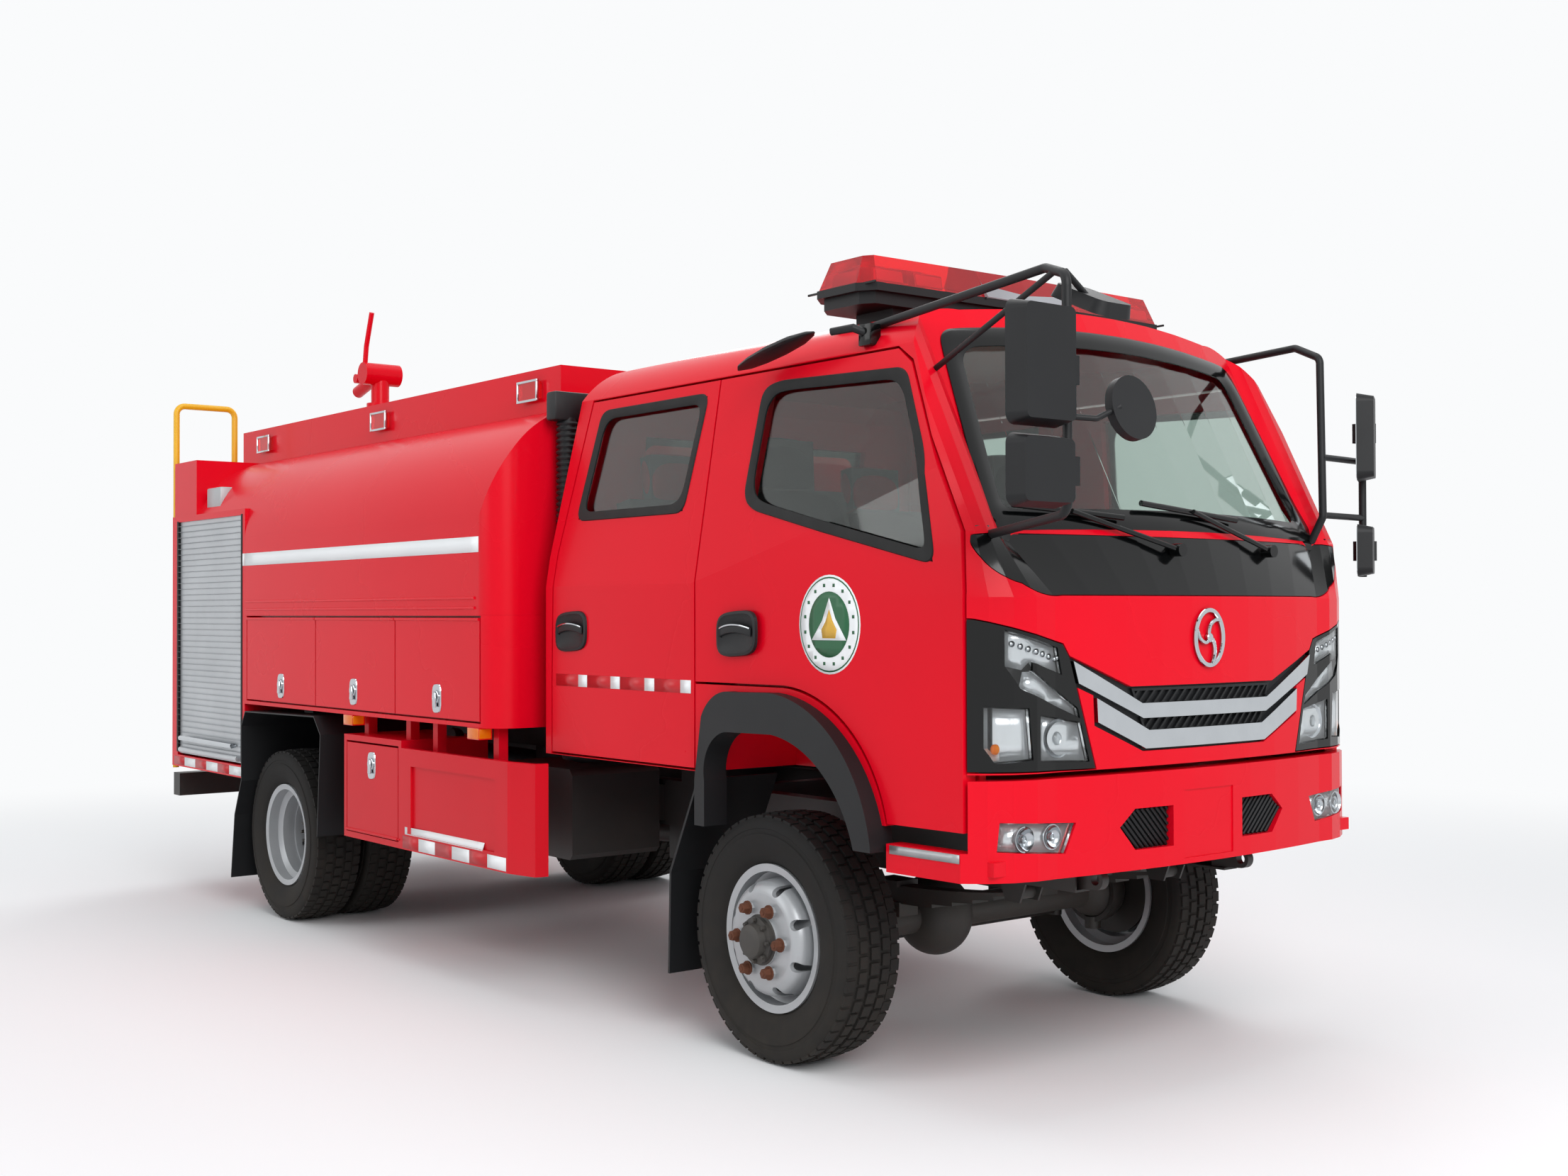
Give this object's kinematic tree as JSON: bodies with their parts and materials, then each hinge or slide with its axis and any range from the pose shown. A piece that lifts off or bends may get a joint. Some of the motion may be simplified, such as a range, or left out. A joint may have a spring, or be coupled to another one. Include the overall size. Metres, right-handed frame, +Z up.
{
  "type": "water tanker fire truck",
  "caption": "Red crew-cab four-wheel-drive water tanker fire truck with side lockers, rear pump cabinet, deck monitor, light bar, and opening doors, lids, hatch, steering and wheels.",
  "frame": {"origin": "on the ground under the middle of the whole vehicle", "axes": "+X forward, +Y to the vehicle's left, +Z up"},
  "size_m": [6.3665, 2.26, 3.125],
  "materials": {
    "tyre": "matt black rubber",
    "wheel_steel": "silver paint",
    "cast_iron": "dark casting",
    "dark_steel": "black chassis paint",
    "red_paint": "glossy fire red",
    "glass": "tinted glass",
    "black_plastic": "satin black",
    "lens": "clear lens",
    "chrome": "bright chrome",
    "interior_plastic": "dark grey trim and cloth",
    "red_lens": "red lens",
    "aluminium": "bare aluminium",
    "yellow_paint": "yellow paint",
    "amber_lens": "amber lens"
  },
  "bodies": {
    "chassis": {"chassis_frame": "dark_steel", "engine": "cast_iron", "driveline": "cast_iron", "front_axle": "dark_steel", "rear_axle": "dark_steel", "cab_shell": "red_paint", "cab_glass": "glass", "headlamp_housings": "black_plastic", "lamp_lenses": "lens", "nose_panel": "black_plastic", "chrome_strips": "chrome", "grille_mesh": "black_plastic", "front_bumper": "red_paint", "arch_flares": "black_plastic", "cab_interior": "interior_plastic", "light_bar_base": "black_plastic", "light_bar_lenses": "red_lens", "mirror_left": "black_plastic", "mirror_right": "black_plastic", "intake_snorkel": "black_plastic", "fuel_tank": "dark_steel", "tank_body": "red_paint", "deck_walls": "red_paint", "locker_cabinets": "red_paint", "pump_cabinet": "red_paint", "roller_shutters": "aluminium", "monitor_base": "red_paint", "access_ladder": "yellow_paint", "side_guards": "red_paint", "rear_mudguards": "black_plastic", "small_lamps": "amber_lens"},
    "steering_knuckle_left": {"knuckle_left": "cast_iron"},
    "front_wheel_left": {"wheel_front_left": "wheel_steel", "tyre_front_left": "tyre"},
    "rear_wheels_left": {"wheels_rear_left": "wheel_steel", "tyres_rear_left": "tyre"},
    "front_door_left": {"door_front_left": "red_paint", "door_glass_front_left": "glass"},
    "rear_door_left": {"door_rear_left": "red_paint", "door_glass_rear_left": "glass"},
    "locker_lid_left_1": {"locker_door_left_1": "red_paint"},
    "locker_lid_left_2": {"locker_door_left_2": "red_paint"},
    "locker_lid_left_3": {"locker_door_left_3": "red_paint"},
    "steering_knuckle_right": {"knuckle_right": "cast_iron"},
    "front_wheel_right": {"wheel_front_right": "wheel_steel", "tyre_front_right": "tyre"},
    "rear_wheels_right": {"wheels_rear_right": "wheel_steel", "tyres_rear_right": "tyre"},
    "front_door_right": {"door_front_right": "red_paint", "door_glass_front_right": "glass"},
    "rear_door_right": {"door_rear_right": "red_paint", "door_glass_rear_right": "glass"},
    "locker_lid_right_1": {"locker_door_right_1": "red_paint"},
    "locker_lid_right_2": {"locker_door_right_2": "red_paint"},
    "locker_lid_right_3": {"locker_door_right_3": "red_paint"},
    "tie_rod_bar": {"tie_rod": "dark_steel"},
    "toolbox_flap": {"toolbox_door": "red_paint"},
    "hatch_lid": {"tank_hatch": "aluminium"},
    "monitor_turret": {"monitor_swivel": "red_paint"},
    "monitor_gun": {"monitor_barrel": "red_paint"}
  },
  "joints": [
    {"name": "steer_left", "type": "hinge", "parent": "chassis", "child": "steering_knuckle_left", "pos_m": [1.815, 0.65, 0.4], "axis": [0, 0, 1], "range_deg": [-30, 30]},
    {"name": "spin_front_left", "type": "hinge", "parent": "steering_knuckle_left", "child": "front_wheel_left", "pos_m": [1.815, 0.788, 0.4], "axis": [0, 1, 0], "continuous": true},
    {"name": "spin_rear_left", "type": "hinge", "parent": "chassis", "child": "rear_wheels_left", "pos_m": [-1.685, 0.824, 0.4], "axis": [0, 1, 0], "continuous": true},
    {"name": "front_door_hinge_left", "type": "hinge", "parent": "chassis", "child": "front_door_left", "pos_m": [2.705, 0.899, 1.5], "axis": [0, 0, -1], "range_deg": [0, 65]},
    {"name": "rear_door_hinge_left", "type": "hinge", "parent": "chassis", "child": "rear_door_left", "pos_m": [1.482, 0.948, 1.5], "axis": [0, 0, -1], "range_deg": [0, 65]},
    {"name": "locker_hinge_left_1", "type": "hinge", "parent": "chassis", "child": "locker_lid_left_1", "pos_m": [-0.046, 1.111, 1.418], "axis": [1, 0, 0], "range_deg": [0, 95]},
    {"name": "locker_hinge_left_2", "type": "hinge", "parent": "chassis", "child": "locker_lid_left_2", "pos_m": [-0.806, 1.111, 1.418], "axis": [1, 0, 0], "range_deg": [0, 95]},
    {"name": "locker_hinge_left_3", "type": "hinge", "parent": "chassis", "child": "locker_lid_left_3", "pos_m": [-1.61, 1.111, 1.418], "axis": [1, 0, 0], "range_deg": [0, 95]},
    {"name": "steer_right", "type": "hinge", "parent": "chassis", "child": "steering_knuckle_right", "pos_m": [1.815, -0.65, 0.4], "axis": [0, 0, 1], "range_deg": [-30, 30]},
    {"name": "spin_front_right", "type": "hinge", "parent": "steering_knuckle_right", "child": "front_wheel_right", "pos_m": [1.815, -0.788, 0.4], "axis": [0, 1, 0], "continuous": true},
    {"name": "spin_rear_right", "type": "hinge", "parent": "chassis", "child": "rear_wheels_right", "pos_m": [-1.685, -0.824, 0.4], "axis": [0, 1, 0], "continuous": true},
    {"name": "front_door_hinge_right", "type": "hinge", "parent": "chassis", "child": "front_door_right", "pos_m": [2.705, -0.899, 1.5], "axis": [0, 0, 1], "range_deg": [0, 65]},
    {"name": "rear_door_hinge_right", "type": "hinge", "parent": "chassis", "child": "rear_door_right", "pos_m": [1.482, -0.948, 1.5], "axis": [0, 0, 1], "range_deg": [0, 65]},
    {"name": "locker_hinge_right_1", "type": "hinge", "parent": "chassis", "child": "locker_lid_right_1", "pos_m": [-0.046, -1.111, 1.418], "axis": [-1, 0, 0], "range_deg": [0, 95]},
    {"name": "locker_hinge_right_2", "type": "hinge", "parent": "chassis", "child": "locker_lid_right_2", "pos_m": [-0.806, -1.111, 1.418], "axis": [-1, 0, 0], "range_deg": [0, 95]},
    {"name": "locker_hinge_right_3", "type": "hinge", "parent": "chassis", "child": "locker_lid_right_3", "pos_m": [-1.61, -1.111, 1.418], "axis": [-1, 0, 0], "range_deg": [0, 95]},
    {"name": "tie_rod_slide", "type": "slide", "parent": "chassis", "child": "tie_rod_bar", "axis": [0, 1, 0], "range_m": [-0.1, 0.1]},
    {"name": "toolbox_hinge", "type": "hinge", "parent": "chassis", "child": "toolbox_flap", "pos_m": [-0.625, -1.11, 0.513], "axis": [1, 0, 0], "range_deg": [0, 100]},
    {"name": "hatch_hinge", "type": "hinge", "parent": "chassis", "child": "hatch_lid", "pos_m": [-0.775, 0, 2.34], "axis": [0, -1, 0], "range_deg": [0, 100]},
    {"name": "monitor_swivel_turn", "type": "hinge", "parent": "chassis", "child": "monitor_turret", "pos_m": [-2.885, 0, 2.6], "axis": [0, 0, 1], "range_deg": [-170, 170]},
    {"name": "monitor_tilt", "type": "hinge", "parent": "monitor_turret", "child": "monitor_gun", "pos_m": [-2.885, 0, 2.79], "axis": [0, 1, 0], "range_deg": [-20, 60]}
  ],
  "couplings": [
    {"joint": "steer_right", "follows": "steer_left", "ratio": 1},
    {"joint": "tie_rod_slide", "follows": "steer_left", "m_per_rad": -0.17}
  ]
}
